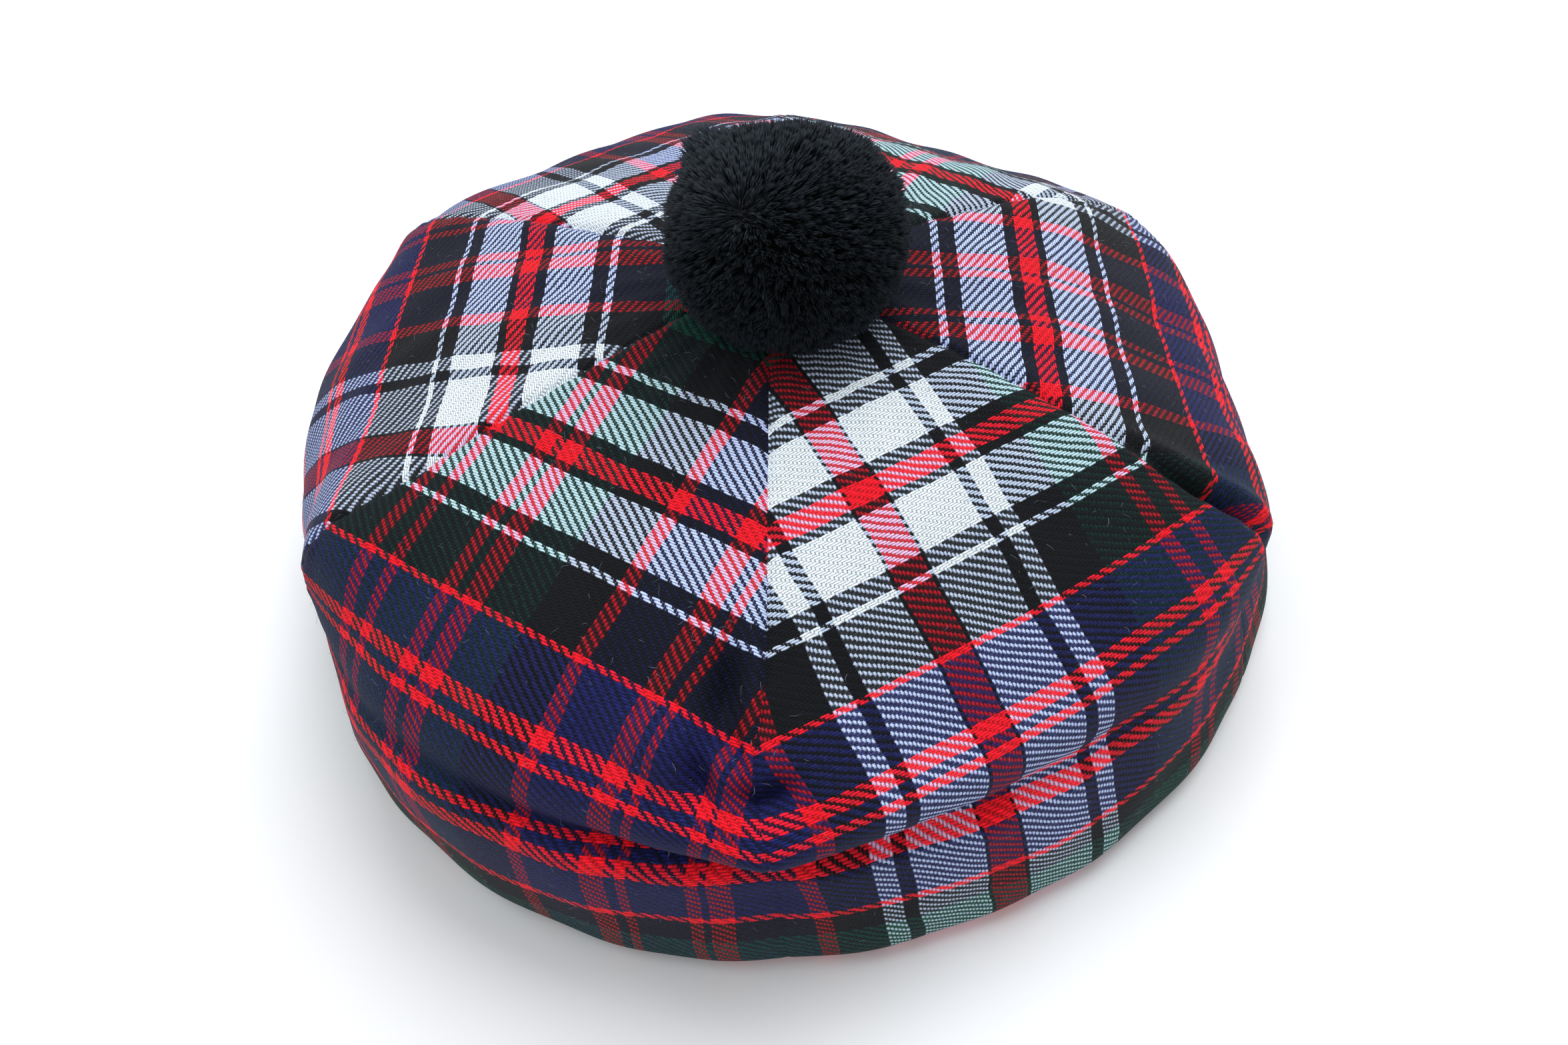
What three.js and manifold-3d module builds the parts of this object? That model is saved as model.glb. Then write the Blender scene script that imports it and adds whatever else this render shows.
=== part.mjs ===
// A tam o'shanter at rest: six wool gores, a plain headband inside and a yarn pompom on top.
// Millimetres, +Z up. Z = 0 is the surface it rests on, the front is towards -Y.
import * as THREE from 'three';
import { mergeVertices } from 'three/addons/utils/BufferGeometryUtils.js';
import Module from 'manifold-3d';

const wasm = await Module();
wasm.setup();

// Driving dimensions
const rimReach = 139;          // middle of the hat to the rim, at the middle of a gore
const crownHeight = 91;        // middle of the crown above the surface
const clothWall = 2;           // gore cloth and its turnings
const seamGap = 0.3;           // clearance between neighbouring pieces
const crownHole = 4;           // radius at which the six points stop, under the pompom
const frontSeamTurn = -96;     // degrees from +X to the seam that faces the front
const bandInnerRadius = 90;
const bandWall = 2.4;
const bandHeight = 32;
const bandEdgeRound = 0.72;    // softly rounded upper edge
const bandSeamHeight = 25;     // where the gathered edge of the gores meets the band
const pompomRadius = 29;
const pompomSquash = 0.92;     // the ball is flattened by its own weight
const pompomRise = 15;         // ball's middle above the crown
const pompomLeanRight = 4.2;   // how far the ball flops off the middle
const pompomLeanFront = 5.4;
const lockCount = 48;          // yarn locks on the ball's face
const lockLength = 10;
const lockFootRadius = 6.5;
const lockTipRadius = 4.94;
const lockProud = 0.3;          // share of a lock that stands clear of the head
const lockUneven = 0.04;       // how much the locks differ in reach

const woolFace = { roughness: 0.9, metalness: 0 };
const goreCount = 6;
const goreTurn = 360 / goreCount;

// One row per gore, turning counter-clockwise from the front seam.
// droop is how far that side of the hat sags, in steps of the sway and lift columns below.
const gores = [
  { name: 'gore_front_right', droop: 0.9, colour: 0x2a2438 },
  { name: 'gore_right', droop: 1.2, colour: 0x20222f },
  { name: 'gore_back_right', droop: 1.8, colour: 0x2c2e3a },
  { name: 'gore_back_left', droop: 0.1, colour: 0x24263a },
  { name: 'gore_left', droop: -0.4, colour: 0x2a2834 },
  { name: 'gore_front_left', droop: -1.0, colour: 0x1d2740 },
];

// Section through the middle of a gore, from the crown to where it touches the surface.
// reach, sway: shares of rimReach. height, lift: shares of crownHeight.
// bow: 0 is a straight chord from seam to seam, 1 is a true arc, above 1 the seams are drawn in.
const crownRows = [
  { reach: 0.144, height: 0.994, bow: 0.1, sway: 0, lift: 0 },
  { reach: 0.295, height: 0.962, bow: 0, sway: 0, lift: 0 },
  { reach: 0.435, height: 0.918, bow: 0, sway: 0, lift: 0 },
  { reach: 0.54, height: 0.875, bow: 0, sway: 0.001, lift: 0.006 },
  { reach: 0.63, height: 0.827, bow: 0.02, sway: 0.005, lift: 0.022 },
  { reach: 0.747, height: 0.754, bow: 0.04, sway: 0.014, lift: 0.046 },
  { reach: 0.806, height: 0.711, bow: 0.12, sway: 0.018, lift: 0.05 },
  { reach: 0.855, height: 0.662, bow: 0.28, sway: 0.02, lift: 0.052 },
  { reach: 0.892, height: 0.61, bow: 0.46, sway: 0.023, lift: 0.056 },
  { reach: 0.93, height: 0.546, bow: 0.68, sway: 0.03, lift: 0.07 },
  { reach: 0.955, height: 0.486, bow: 0.88, sway: 0.036, lift: 0.084 },
  { reach: 0.972, height: 0.425, bow: 1.0, sway: 0.038, lift: 0.084 },
  { reach: 0.984, height: 0.355, bow: 1.06, sway: 0.034, lift: 0.078 },
  { reach: 0.993, height: 0.28, bow: 1.06, sway: 0.028, lift: 0.064 },
  { reach: 0.999, height: 0.2, bow: 1.04, sway: 0.024, lift: 0.044 },
  { reach: 1.004, height: 0.125, bow: 1.02, sway: 0.02, lift: 0.024 },
  { reach: 1.003, height: 0.058, bow: 1.01, sway: 0.018, lift: 0.008 },
  { reach: 0.978, height: 0.012, bow: 1.0, sway: 0.014, lift: 0 },
  { reach: 0.925, height: 0, bow: 1.0, sway: 0.008, lift: 0 },
];
// Underside, from the surface in to the headband. run: share of the way in.
// rise: share of bandSeamHeight.
const underRows = [
  { run: 0.2, rise: 0.04 },
  { run: 0.48, rise: 0.34 },
  { run: 0.76, rise: 0.74 },
  { run: 1, rise: 1 },
];
const gathersPerGore = 3;
const gatherDepth = 1.1;

// Dents pushed into the cloth. turn, spread: degrees round the hat. along, span: shares of the
// cloth's length from the crown to the surface. depth: share of rimReach, negative bulges out.
const dents = [
  { turn: -96, spread: 34, along: 0.72, span: 0.019, depth: 0.05 },
  { turn: -98, spread: 38, along: 0.66, span: 0.035, depth: -0.034 },
  { turn: -100, spread: 2.6, along: 0.505, span: 0.035, depth: 0.048 },
  { turn: -98.3, spread: 1.6, along: 0.54, span: 0.02, depth: 0.024 },
  { turn: -106, spread: 4.5, along: 0.585, span: 0.035, depth: -0.036 },
  { turn: -101.8, spread: 1.8, along: 0.592, span: 0.032, depth: 0.05 },
  { turn: -99, spread: 1.5, along: 0.573, span: 0.022, depth: -0.012 },
  { turn: -95, spread: 2.6, along: 0.592, span: 0.022, depth: 0.05 },
  { turn: -90, spread: 5, along: 0.6, span: 0.04, depth: -0.012 },
  { turn: -36, spread: 1.3, along: 0.56, span: 0.1, depth: 0.05 },
  { turn: -31.5, spread: 3, along: 0.54, span: 0.08, depth: -0.022 },
  { turn: -27, spread: 6, along: 0.68, span: 0.12, depth: -0.012 },
  { turn: -46, spread: 7, along: 0.68, span: 0.12, depth: -0.012 },
  { turn: -156, spread: 11, along: 0.54, span: 0.07, depth: -0.02 },
  { turn: -156, spread: 12, along: 0.74, span: 0.13, depth: 0.045 },
  { turn: 143, spread: 3, along: 0.62, span: 0.1, depth: 0.014 },
  { turn: 84, spread: 9, along: 0.57, span: 0.14, depth: 0.034 },
  { turn: 24, spread: 8, along: 0.66, span: 0.14, depth: 0.026 },
  { turn: -171, spread: 14, along: 0.78, span: 0.3, depth: 0.02 },
  { turn: -2, spread: 13, along: 0.72, span: 0.25, depth: 0.018 },
];
// Where a seam wanders round the hat. shift: degrees, the other columns as for the dents.
const wanders = [
  { turn: -36, spread: 14, along: 0.66, span: 0.17, shift: 3.6 },
  { turn: -96, spread: 9, along: 0.56, span: 0.07, shift: -1.5 },
];
const seamDip = 0.9;           // how far the sewn edges sink
const seamDipWidth = 2.2;      // degrees
const pointShare = 0.12;       // share of the section over which the seams rise to the crown's middle

const bandSides = 60;
const rowSteps = 33;           // faces along a gore
const columnShares = [-1, -0.9, -0.66, -0.34, 0, 0.34, 0.66, 0.9, 1];

const rad = THREE.MathUtils.degToRad;

// Value of one column at share t along a table, on a smooth curve through its rows.
function smooth(values, t) {
  const last = values.length - 1;
  const at = Math.min(Math.max(t, 0), 1) * last;
  const i = Math.min(Math.floor(at), last - 1);
  const f = at - i;
  const before = i > 0 ? values[i - 1] : 2 * values[0] - values[1];
  const after = i + 2 <= last ? values[i + 2] : 2 * values[last] - values[last - 1];
  const [a, b] = [values[i], values[i + 1]];
  const slopeA = (b - before) / 2;
  const slopeB = (after - a) / 2;
  const f2 = f * f;
  const f3 = f2 * f;
  const plain = a * (2 * f3 - 3 * f2 + 1) + b * (3 * f2 - 2 * f3);
  return plain + slopeA * (f3 - 2 * f2 + f) + slopeB * (f3 - f2);
}

// The section's rows in millimetres, crown hole to headband.
function sectionRows() {
  const top = { reach: crownHole, height: crownHeight, bow: 1, sway: 0, lift: 0 };
  const rows = [top];
  for (const row of crownRows) {
    rows.push({
      reach: row.reach * rimReach,
      height: row.height * crownHeight,
      bow: row.bow,
      sway: row.sway * rimReach,
      lift: row.lift * crownHeight,
    });
  }
  const foot = rows[rows.length - 1];
  const bandEdge = bandInnerRadius + bandWall + seamGap;
  for (const row of underRows) {
    rows.push({
      reach: foot.reach + (bandEdge - foot.reach) * row.run,
      height: bandSeamHeight * row.rise,
      bow: 1,
      sway: foot.sway * (1 - row.run),
      lift: 0,
    });
  }
  return rows;
}

const section = sectionRows();
const columns = {};
for (const key of ['reach', 'height', 'bow', 'sway', 'lift']) {
  columns[key] = section.map((row) => row[key]);
}
const footShare = crownRows.length / (section.length - 1);
const rimShare = (crownRows.length - 3) / (section.length - 1);

// Length of cloth from the crown's middle at each of many even shares of the section.
const lengthSteps = 240;
const clothLengths = [crownHole];
for (let i = 1; i <= lengthSteps; i += 1) {
  const [a, b] = [(i - 1) / lengthSteps, i / lengthSteps];
  const run = smooth(columns.reach, b) - smooth(columns.reach, a);
  const rise = smooth(columns.height, b) - smooth(columns.height, a);
  clothLengths.push(clothLengths[i - 1] + Math.hypot(run, rise));
}

function clothAt(share) {
  const at = Math.min(Math.max(share, 0), 1) * lengthSteps;
  const i = Math.min(Math.floor(at), lengthSteps - 1);
  return clothLengths[i] + (clothLengths[i + 1] - clothLengths[i]) * (at - i);
}

// Share of the section at a length of cloth.
function shareAt(cloth) {
  let i = 1;
  while (i < lengthSteps && clothLengths[i] < cloth) i += 1;
  const f = (cloth - clothLengths[i - 1]) / (clothLengths[i] - clothLengths[i - 1]);
  return (i - 1 + Math.min(Math.max(f, 0), 1)) / lengthSteps;
}

const footCloth = clothAt(footShare);

// Droop of the hat at an angle inside a gore: seams take the mean of their two gores.
function droopAt(index, share) {
  const own = gores[index].droop;
  const next = gores[(index + 1) % goreCount].droop;
  const previous = gores[(index + goreCount - 1) % goreCount].droop;
  const edge = share > 0 ? (own + next) / 2 : (own + previous) / 2;
  return own + (edge - own) * share * share;
}

function dentAt(turn, cloth) {
  let depth = 0;
  for (const dent of dents) {
    const away = ((turn - dent.turn + 540) % 360) - 180;
    const along = (cloth / footCloth - dent.along) / dent.span;
    depth += dent.depth * rimReach * Math.exp(-((away / dent.spread) ** 2) - along ** 2);
  }
  return depth;
}

function wanderAt(turn, cloth) {
  let shift = 0;
  for (const row of wanders) {
    const away = ((turn - row.turn + 540) % 360) - 180;
    const along = (cloth / footCloth - row.along) / row.span;
    shift += row.shift * Math.exp(-((away / row.spread) ** 2) - along ** 2);
  }
  return shift;
}

// Radius and height of the gore's outer face, before dents.
function plainPoint(index, columnShare, share) {
  const angle = rad((goreTurn / 2) * columnShare);
  const droop = droopAt(index, columnShare);
  const bow = smooth(columns.bow, share);
  const corner = 1 + (1 - bow) * (1 / Math.cos(angle) - 1);
  const radius = (smooth(columns.reach, share) - droop * smooth(columns.sway, share)) * corner;
  const height = smooth(columns.height, share) - droop * smooth(columns.lift, share);
  return new THREE.Vector2(radius, Math.max(height, 0));
}

// Outward direction of the outer face in the upright plane through the axis.
function outward(index, columnShare, share) {
  const step = 0.004;
  const a = plainPoint(index, columnShare, Math.max(share - step, 0));
  const b = plainPoint(index, columnShare, Math.min(share + step, 1));
  return new THREE.Vector2(a.y - b.y, b.x - a.x).normalize();
}

function facePoint(index, columnShare, share) {
  const turn = frontSeamTurn + goreTurn * (index + 0.5 + columnShare / 2);
  const cloth = clothAt(share);
  const point = plainPoint(index, columnShare, share);
  const out = outward(index, columnShare, share);
  const fromSeam = (1 - Math.abs(columnShare)) * (goreTurn / 2) / seamDipWidth;
  const offHole = THREE.MathUtils.smoothstep(share, 0, pointShare);
  const onCrown = offHole * (1 - THREE.MathUtils.smoothstep(share, rimShare, footShare));
  const depth = dentAt(turn, cloth) + seamDip * Math.exp(-(fromSeam ** 2)) * onCrown;
  point.addScaledVector(out, -depth);
  const gathered = THREE.MathUtils.smoothstep(share, footShare, 1);
  point.y += gatherDepth * gathered * (1 - Math.cos(Math.PI * gathersPerGore * (columnShare + 1)));
  return point;
}

// Upright half-plane coordinates to a point in space, the gap kept at both seams.
function place(index, columnShare, share, flat) {
  const turn = frontSeamTurn + goreTurn * (index + 0.5 + columnShare / 2);
  const shy = (seamGap / 2 / flat.x) * columnShare;
  const angle = rad(turn + wanderAt(turn, clothAt(share))) - shy;
  return [flat.x * Math.cos(angle), flat.x * Math.sin(angle), flat.y];
}

// Wall between an outer and an inner net of points, closed round its four edges.
function closedWall(outer, inner) {
  const rows = outer.length;
  const cols = outer[0].length;
  const positions = [...outer.flat(), ...inner.flat()].flat();
  const index = [];
  const at = (net, row, col) => net * rows * cols + row * cols + col;
  const quad = (a, b, c, d) => index.push(a, b, c, a, c, d);
  for (let r = 0; r + 1 < rows; r += 1) {
    for (let c = 0; c + 1 < cols; c += 1) {
      quad(at(0, r, c), at(0, r + 1, c), at(0, r + 1, c + 1), at(0, r, c + 1));
      quad(at(1, r, c), at(1, r, c + 1), at(1, r + 1, c + 1), at(1, r + 1, c));
    }
    quad(at(0, r, 0), at(1, r, 0), at(1, r + 1, 0), at(0, r + 1, 0));
    quad(at(0, r, cols - 1), at(0, r + 1, cols - 1), at(1, r + 1, cols - 1), at(1, r, cols - 1));
  }
  for (let c = 0; c + 1 < cols; c += 1) {
    quad(at(0, 0, c), at(0, 0, c + 1), at(1, 0, c + 1), at(1, 0, c));
    quad(at(0, rows - 1, c), at(1, rows - 1, c), at(1, rows - 1, c + 1), at(0, rows - 1, c + 1));
  }
  const geometry = new THREE.BufferGeometry();
  geometry.setAttribute('position', new THREE.Float32BufferAttribute(positions, 3));
  geometry.setIndex(index);
  geometry.computeVertexNormals();
  return geometry;
}

// Even steps of cloth, with the last rows on the underside.
function rowShares() {
  const shares = [];
  const full = clothLengths[lengthSteps];
  for (let i = 0; i <= rowSteps; i += 1) {
    shares.push(shareAt(crownHole + (full - crownHole) * (i / rowSteps)));
  }
  return shares;
}

function goreGeometry(index) {
  const outer = [];
  const inner = [];
  for (const share of rowShares()) {
    const outerRow = [];
    const innerRow = [];
    for (const columnShare of columnShares) {
      const face = facePoint(index, columnShare, share);
      const back = face.clone().addScaledVector(outward(index, columnShare, share), -clothWall);
      outerRow.push(place(index, columnShare, share, face));
      innerRow.push(place(index, columnShare, share, back));
    }
    outer.push(outerRow);
    inner.push(innerRow);
  }
  return closedWall(outer, inner);
}

function makeGore(index) {
  const { name, colour } = gores[index];
  const cloth = new THREE.MeshStandardMaterial({ color: colour, ...woolFace });
  const mesh = new THREE.Mesh(goreGeometry(index), cloth);
  mesh.name = name;
  return mesh;
}

// Upright ring of doubled cloth with softly rounded upper edge and a flat lower edge.
function makeHeadband() {
  const outer = bandInnerRadius + bandWall;
  const round = bandEdgeRound;
  const outline = [
    [bandInnerRadius, 0],
    [outer, 0],
    [outer, bandHeight - round],
    [outer - round, bandHeight],
    [bandInnerRadius + round, bandHeight],
    [bandInnerRadius, bandHeight - round],
    [bandInnerRadius, 0],
  ].map(([x, y]) => new THREE.Vector2(x, y));
  const geometry = new THREE.LatheGeometry(outline, bandSides);
  geometry.rotateX(Math.PI / 2);
  const mesh = new THREE.Mesh(geometry, new THREE.MeshStandardMaterial({ color: 0x15161c, ...woolFace }));
  mesh.name = 'headband';
  return mesh;
}

function toSolid(geometry) {
  const bare = geometry.clone();
  bare.deleteAttribute('normal');
  bare.deleteAttribute('uv');
  const merged = mergeVertices(bare, 1e-4);
  return new wasm.Manifold(new wasm.Mesh({
    numProp: 3,
    vertProperties: new Float32Array(merged.attributes.position.array),
    triVerts: new Uint32Array(merged.index.array),
  }));
}

function toGeometry(solid) {
  const mesh = solid.getMesh();
  const geometry = new THREE.BufferGeometry();
  geometry.setAttribute('position', new THREE.BufferAttribute(mesh.vertProperties, 3));
  geometry.setIndex(new THREE.BufferAttribute(mesh.triVerts, 1));
  geometry.computeVertexNormals();
  return geometry;
}

// Directions spread evenly over the ball, leaving out the part that sits on the crown.
function lockDirections(count, lowest) {
  const golden = Math.PI * (3 - Math.sqrt(5));
  const directions = [];
  for (let i = 0; i < count; i += 1) {
    const z = 1 - (1 - lowest) * ((i + 0.5) / count);
    const flat = Math.sqrt(1 - z * z);
    directions.push(new THREE.Vector3(flat * Math.cos(golden * i), flat * Math.sin(golden * i), z));
  }
  return directions;
}

// Ball of yarn: locks fused to a round head, cut flat where it is sewn down.
function makePompom() {
  const middle = new THREE.Vector3(pompomLeanRight, -pompomLeanFront, crownHeight + pompomRise);
  const headRadius = pompomRadius - lockLength * lockProud;
  const head = new THREE.SphereGeometry(headRadius, 18, 12);
  head.rotateX(Math.PI / 2);
  let solid = toSolid(head);
  const roundRise = pompomRise / pompomSquash;
  const sitting = -roundRise / pompomRadius;
  const up = new THREE.Vector3(0, 1, 0);
  lockDirections(lockCount, sitting).forEach((direction, i) => {
    const uneven = 1 + lockUneven * Math.sin(i * 2.4);
    const lock = new THREE.CylinderGeometry(lockTipRadius, lockFootRadius, lockLength, 5, 1);
    lock.rotateY(i);
    lock.applyQuaternion(new THREE.Quaternion().setFromUnitVectors(up, direction));
    const centre = direction.clone().multiplyScalar(pompomRadius * uneven - lockLength / 2);
    lock.translate(centre.x, centre.y, centre.z);
    solid = solid.add(toSolid(lock));
  });
  const block = new THREE.BoxGeometry(4 * pompomRadius, 4 * pompomRadius, 2 * pompomRadius);
  block.translate(0, 0, -roundRise + seamGap / pompomSquash - pompomRadius);
  solid = solid.subtract(toSolid(block));
  const geometry = toGeometry(solid);
  geometry.scale(1, 1, pompomSquash);
  geometry.computeVertexNormals();
  geometry.translate(middle.x, middle.y, middle.z);
  const yarn = new THREE.MeshStandardMaterial({ color: 0x0c0d0f, roughness: 1, metalness: 0 });
  const mesh = new THREE.Mesh(geometry, yarn);
  mesh.name = 'pompom';
  return mesh;
}

const tam = new THREE.Group();
gores.forEach((gore, index) => tam.add(makeGore(index)));
tam.add(makeHeadband());
tam.add(makePompom());

// The origin is the middle of the hat's outline on the surface.
const box = new THREE.Box3().setFromObject(tam);
tam.position.set(-(box.min.x + box.max.x) / 2, -(box.min.y + box.max.y) / 2, 0);
tam.updateMatrixWorld(true);

export default tam;
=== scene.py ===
# Tartan tam o'shanter at rest on a pale floor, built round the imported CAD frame.
# Metres, +Z up, the front towards -Y. Shape sizes below are in millimetres.
import bpy
import math
import numpy as np
from mathutils import Matrix, Vector


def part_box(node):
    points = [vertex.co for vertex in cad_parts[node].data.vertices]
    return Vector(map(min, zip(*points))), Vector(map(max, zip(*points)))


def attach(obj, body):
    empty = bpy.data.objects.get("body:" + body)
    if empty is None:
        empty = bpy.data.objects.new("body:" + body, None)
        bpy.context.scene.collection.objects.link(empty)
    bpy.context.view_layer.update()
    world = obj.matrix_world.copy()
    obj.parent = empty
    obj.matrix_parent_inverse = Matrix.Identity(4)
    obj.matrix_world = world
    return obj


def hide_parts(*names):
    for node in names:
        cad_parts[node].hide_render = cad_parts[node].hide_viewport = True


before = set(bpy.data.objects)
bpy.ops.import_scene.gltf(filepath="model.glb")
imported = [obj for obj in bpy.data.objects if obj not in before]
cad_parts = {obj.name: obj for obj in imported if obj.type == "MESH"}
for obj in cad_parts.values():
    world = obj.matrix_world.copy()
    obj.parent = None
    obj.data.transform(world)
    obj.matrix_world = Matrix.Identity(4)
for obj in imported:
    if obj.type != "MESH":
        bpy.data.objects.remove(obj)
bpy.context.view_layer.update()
mm = 0.001

bandLow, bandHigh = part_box("headband")
axisX = (bandLow.x + bandHigh.x) / 2   # crown axis in the row frame
axisY = (bandLow.y + bandHigh.y) / 2


def deselectAll():
    for other in bpy.context.selected_objects:
        other.select_set(False)


def linear(red, green, blue):   # screen colour to shader colour
    return tuple((c / 255) ** 2.2 for c in (red, green, blue)) + (1.0,)


# camera
camera = {
    "fromAxis": (-3.8, -228.9, 284.6),   # mm from the crown axis at floor level
    "right": (0.99357, -0.08919, -0.06968),
    "up": (0.11319, 0.78298, 0.61167),
    "lens": 27.306,
    "sensor": 36.0,
}


def makeCamera():
    data = bpy.data.cameras.new("photo_view")
    data.lens = camera["lens"]
    data.sensor_width = camera["sensor"]
    data.clip_start, data.clip_end = 0.01, 20
    obj = bpy.data.objects.new("photo_view", data)
    bpy.context.scene.collection.objects.link(obj)
    right, up = Vector(camera["right"]), Vector(camera["up"])
    turn = Matrix((right, up, right.cross(up))).transposed()
    x, y, z = (v * mm for v in camera["fromAxis"])
    obj.matrix_world = Matrix.Translation((axisX + x, axisY + y, z)) @ turn.to_4x4()
    bpy.context.scene.camera = obj
    print("camera set")


# floor and light
studio = {
    "floorSize": 12.0,
    "floorColour": (0.92, 0.92, 0.93, 1),
    "sky": (0.96, 0.98, 1.0, 1), "skyStrength": 0.58,
    "lampColour": (0.95, 0.98, 1.0),
    "lamps": (
        # place, size, watts
        ((0.5, 0.75, 1.7), 1.4, 30.0),
        ((-1.0, 0.2, 1.6), 1.2, 8.0),
    ),
}


def makeStudio():
    deselectAll()
    bpy.ops.mesh.primitive_plane_add(size=studio["floorSize"], location=(0, 0, 0))
    floor = bpy.context.active_object
    floor.name = "floor"
    paint = bpy.data.materials.new("pale_floor")
    paint.use_nodes = True
    shader = paint.node_tree.nodes["Principled BSDF"]
    shader.inputs["Base Color"].default_value = studio["floorColour"]
    shader.inputs["Roughness"].default_value = 0.9
    floor.data.materials.append(paint)
    world = bpy.data.worlds.new("pale_room")
    world.use_nodes = True
    back = world.node_tree.nodes["Background"]
    back.inputs["Color"].default_value = studio["sky"]
    back.inputs["Strength"].default_value = studio["skyStrength"]
    bpy.context.scene.world = world
    for number, (place, size, watts) in enumerate(studio["lamps"]):
        light = bpy.data.lights.new("soft_lamp_%d" % number, "AREA")
        light.size = size
        light.energy = watts
        light.color = studio["lampColour"]
        lamp = bpy.data.objects.new(light.name, light)
        bpy.context.scene.collection.objects.link(lamp)
        lamp.location = place
        lamp.rotation_euler = (-Vector(place)).to_track_quat("-Z", "Y").to_euler()
    bpy.context.scene.view_settings.view_transform = "Standard"
    print("floor and lamps set")


def addPiece(name, points, faces, paint):   # points in metres
    mesh = bpy.data.meshes.new(name)
    mesh.from_pydata(points.tolist(), [], faces)
    mesh.polygons.foreach_set("use_smooth", [True] * len(mesh.polygons))
    mesh.materials.append(paint)
    obj = bpy.data.objects.new(name, mesh)
    bpy.context.scene.collection.objects.link(obj)
    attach(obj, "root")
    return obj


def roundAxis(angle, radius, height):   # points in metres round the crown axis
    points = np.stack([radius * np.cos(angle), radius * np.sin(angle), height], -1)
    return points.reshape(-1, 3) * mm + np.array([axisX, axisY, 0])


# node helpers
def addNode(tree, kind, **settings):
    node = tree.nodes.new(kind)
    for key, value in settings.items():
        setattr(node, key, value)
    return node


def calc(tree, operation, *terms):
    node = addNode(tree, "ShaderNodeMath", operation=operation)
    for socket, term in zip(node.inputs, terms):
        if isinstance(term, (int, float)):
            socket.default_value = term
        else:
            tree.links.new(term, socket)
    return node.outputs[0]


def addNoise(tree, vector, scale, detail=2):
    node = addNode(tree, "ShaderNodeTexNoise")
    node.inputs["Scale"].default_value = scale
    node.inputs["Detail"].default_value = detail
    tree.links.new(vector, node.inputs["Vector"])
    return node


def addRange(tree, value, fromMin, fromMax, toMin=0, toMax=1):
    node = addNode(tree, "ShaderNodeMapRange")
    node.inputs["From Min"].default_value = fromMin
    node.inputs["From Max"].default_value = fromMax
    node.inputs["To Min"].default_value = toMin
    node.inputs["To Max"].default_value = toMax
    tree.links.new(value, node.inputs["Value"])
    return node.outputs[0]


def splitParts(tree, vector):
    node = addNode(tree, "ShaderNodeSeparateXYZ")
    tree.links.new(vector, node.inputs[0])
    return node.outputs


def addBump(tree, shader, height, strength, distance):
    bump = addNode(tree, "ShaderNodeBump")
    bump.inputs["Strength"].default_value = strength
    bump.inputs["Distance"].default_value = distance
    tree.links.new(height, bump.inputs["Height"])
    tree.links.new(bump.outputs[0], shader.inputs["Normal"])


def newMaterial(name, roughness, sheen=0, sheenTint=(1, 1, 1, 1), shine=0.2):
    paint = bpy.data.materials.new(name)
    paint.use_nodes = True
    shader = paint.node_tree.nodes["Principled BSDF"]
    shader.inputs["Roughness"].default_value = roughness
    shader.inputs["Specular IOR Level"].default_value = shine
    shader.inputs["Sheen Weight"].default_value = sheen
    shader.inputs["Sheen Roughness"].default_value = 0.45
    shader.inputs["Sheen Tint"].default_value = sheenTint
    return paint, paint.node_tree, shader


def mixColour(tree, factor, a, b, blend="MIX"):
    node = addNode(tree, "ShaderNodeMix", data_type="RGBA", blend_type=blend)
    if isinstance(factor, (int, float)):
        node.inputs[0].default_value = factor
    else:
        tree.links.new(factor, node.inputs[0])
    for socket, term in ((node.inputs[6], a), (node.inputs[7], b)):
        if isinstance(term, tuple):
            socket.default_value = term
        else:
            tree.links.new(term, socket)
    return node.outputs[2]


# tartan cloth
wools = {
    "k": linear(13, 16, 22),
    "w": linear(238, 248, 255),
    "r": linear(250, 26, 44),
    "b": linear(27, 32, 75),
    "g": linear(12, 65, 53),
}
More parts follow.
